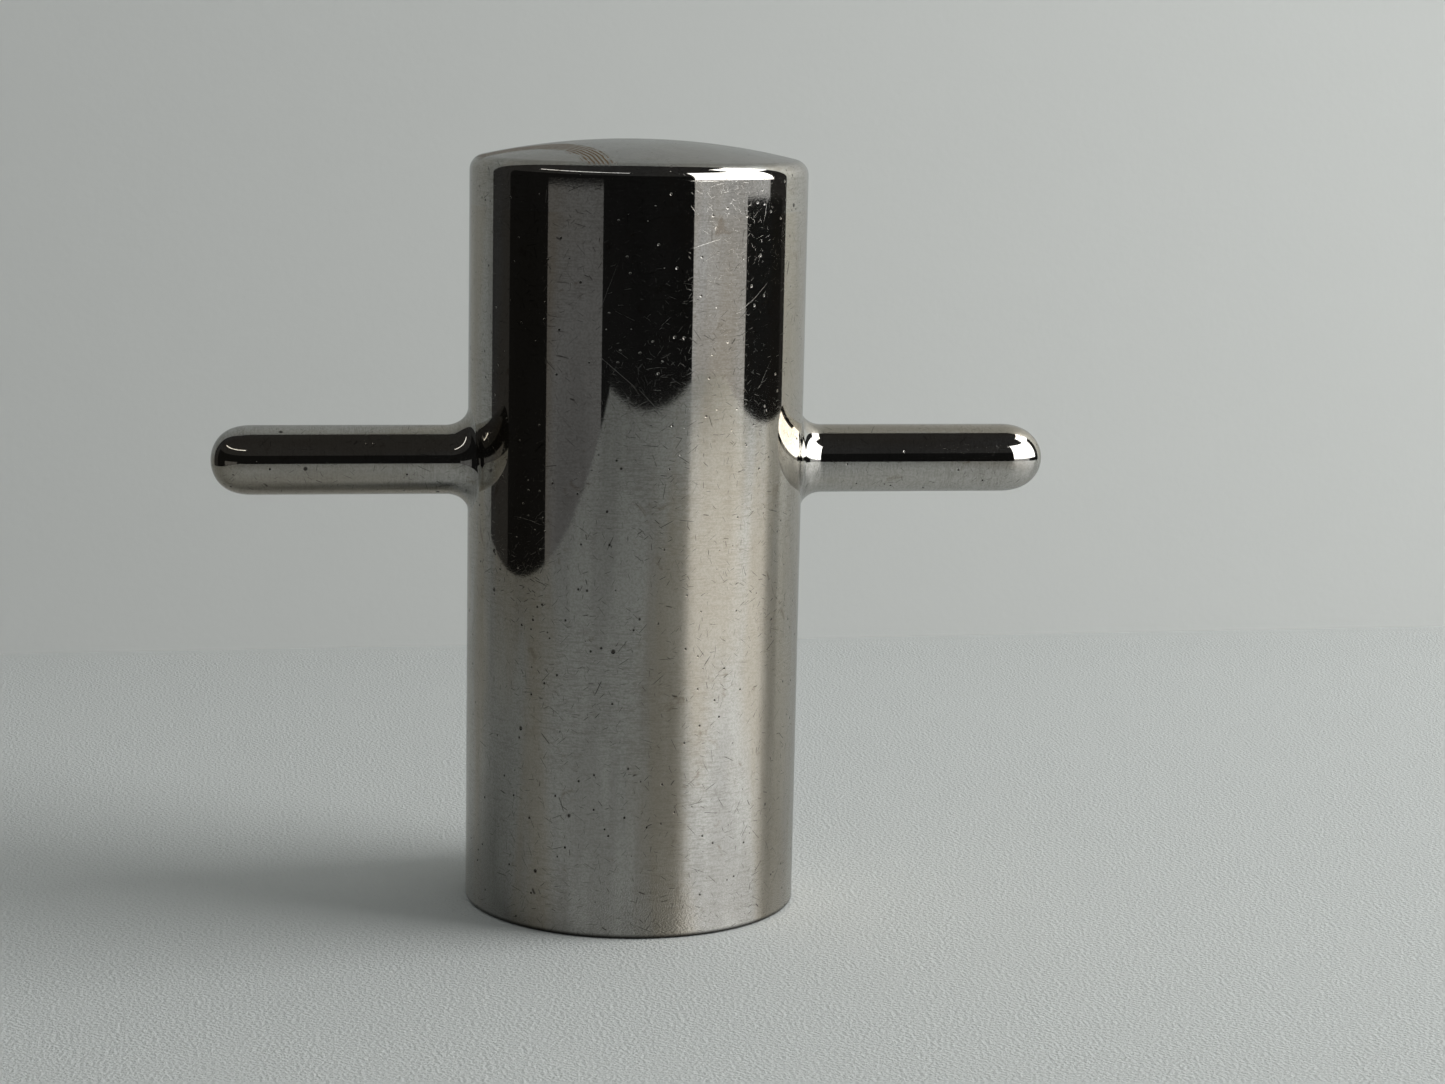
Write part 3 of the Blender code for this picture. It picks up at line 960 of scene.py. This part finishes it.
def make_studio_cards():
    """Black and grey glowing cards give the polish something dark to show, and bright ones stand for the soft
    lights: painted reflections and painted highlights."""
    studio_card("black_card", 0.008, -95, 37, CARD_FOOT, 0.45)
    studio_card("dark_grey_card", 0.11, -62, -23, CARD_FOOT, 0.090, 0.02)
    studio_card("pale_grey_card", 0.50, 37, 98, CARD_FOOT, 0.095)
    studio_card("black_card_right", 0.012, 77, 112, -0.03, 0.086, 0.04)
    studio_card("soft_light", 4.0, 37, 101, 0.100, 0.95)
    studio_card("high_soft_light", 4.3, 78, 118, 0.90, 1.9, -0.1)
    studio_card("strip_light", 2.6, -80, -7, 0.825, 0.865)


def make_card_below():
    """A pale glowing card under the floor, seen only in reflections, so that the foot shows in a view from
    below: a painted reflection.
    """
    corners = square(CARD_BELOW_REACH, CARD_BELOW_HEIGHT)
    stage_piece("card_below", corners, [(0, 1, 2, 3)], glow("pale card", 0.76), **MIRROR_ONLY)


LAMP_SIZE = (0.99, 1.10)
LAMP_PLACE = (1.15, -0.255, 0.65)
LAMP_POWER = 19.0


def make_soft_light():
    """One large soft light on the right, and soft light all round. Polished steel sees a dim sky instead, a
    painted dark reflection, and the camera sees a pale one.
    """
    data = bpy.data.lights.new("large_soft_light", "AREA")
    data.shape = "RECTANGLE"
    data.size, data.size_y = LAMP_SIZE
    data.energy = LAMP_POWER
    data.color = (0.98, 1.0, 1.0)
    lamp = bpy.data.objects.new("large_soft_light", data)
    bpy.context.scene.collection.objects.link(lamp)
    lamp.location = LAMP_PLACE
    lamp.rotation_euler = Vector((-1, 0, 0)).to_track_quat("-Z", "Y").to_euler()
    lamp.visible_camera = False
    lamp.visible_glossy = False

    world = bpy.data.worlds.new("studio")
    world.use_nodes = True
    bpy.context.scene.world = world
    tree = world.node_tree
    tree.nodes.clear()
    path = add(tree, "ShaderNodeLightPath").outputs
    soft = add(tree, "ShaderNodeBackground", {"Color": (0.95, 1.0, 1.0, 1), "Strength": 0.26}).outputs[0]
    # painted dark reflection: polished steel sees this dim sky instead of the soft light all round
    dim = add(tree, "ShaderNodeBackground", {"Color": (0.030, 0.030, 0.030, 1)}).outputs[0]
    pale = add(tree, "ShaderNodeBackground", {"Color": (0.46, 0.47, 0.46, 1)}).outputs[0]
    unseen = add(tree, "ShaderNodeMixShader", {0: path["Is Glossy Ray"], 1: soft, 2: dim}).outputs[0]
    mixed = add(tree, "ShaderNodeMixShader", {0: path["Is Camera Ray"], 1: unseen, 2: pale}).outputs[0]
    tree.links.new(mixed, add(tree, "ShaderNodeOutputWorld").inputs["Surface"])


CAMERA_DISTANCE = 0.5297
CAMERA_HEIGHT = 0.1532
CAMERA_BEARING = math.radians(-8.124)
CAMERA_PAN = math.radians(-1.736)
CAMERA_PITCH = math.radians(9.385)
CAMERA_ROLL = math.radians(1.140)
CAMERA_LENS = 73.9


def make_camera():
    heading = CAMERA_BEARING + CAMERA_PAN
    level = Vector((-math.sin(heading), math.cos(heading), 0))
    forward = math.cos(CAMERA_PITCH) * level - math.sin(CAMERA_PITCH) * Vector((0, 0, 1))
    right = forward.cross(Vector((0, 0, 1))).normalized()
    up = right.cross(forward)
    across = math.cos(CAMERA_ROLL) * right + math.sin(CAMERA_ROLL) * up
    upright = math.cos(CAMERA_ROLL) * up - math.sin(CAMERA_ROLL) * right
    place = (
        CAMERA_DISTANCE * math.sin(CAMERA_BEARING),
        -CAMERA_DISTANCE * math.cos(CAMERA_BEARING),
        CAMERA_HEIGHT,
    )
    data = bpy.data.cameras.new("camera")
    data.lens = CAMERA_LENS
    camera = bpy.data.objects.new("camera", data)
    bpy.context.scene.collection.objects.link(camera)
    turn = Matrix((across, upright, -forward)).transposed().to_4x4()
    camera.matrix_world = Matrix.Translation(place) @ turn
    bpy.context.scene.camera = camera


make_camera()
make_object()
make_table_and_wall()
make_studio_cards()
make_card_below()
make_soft_light()
bpy.context.scene.view_settings.view_transform = "Standard"
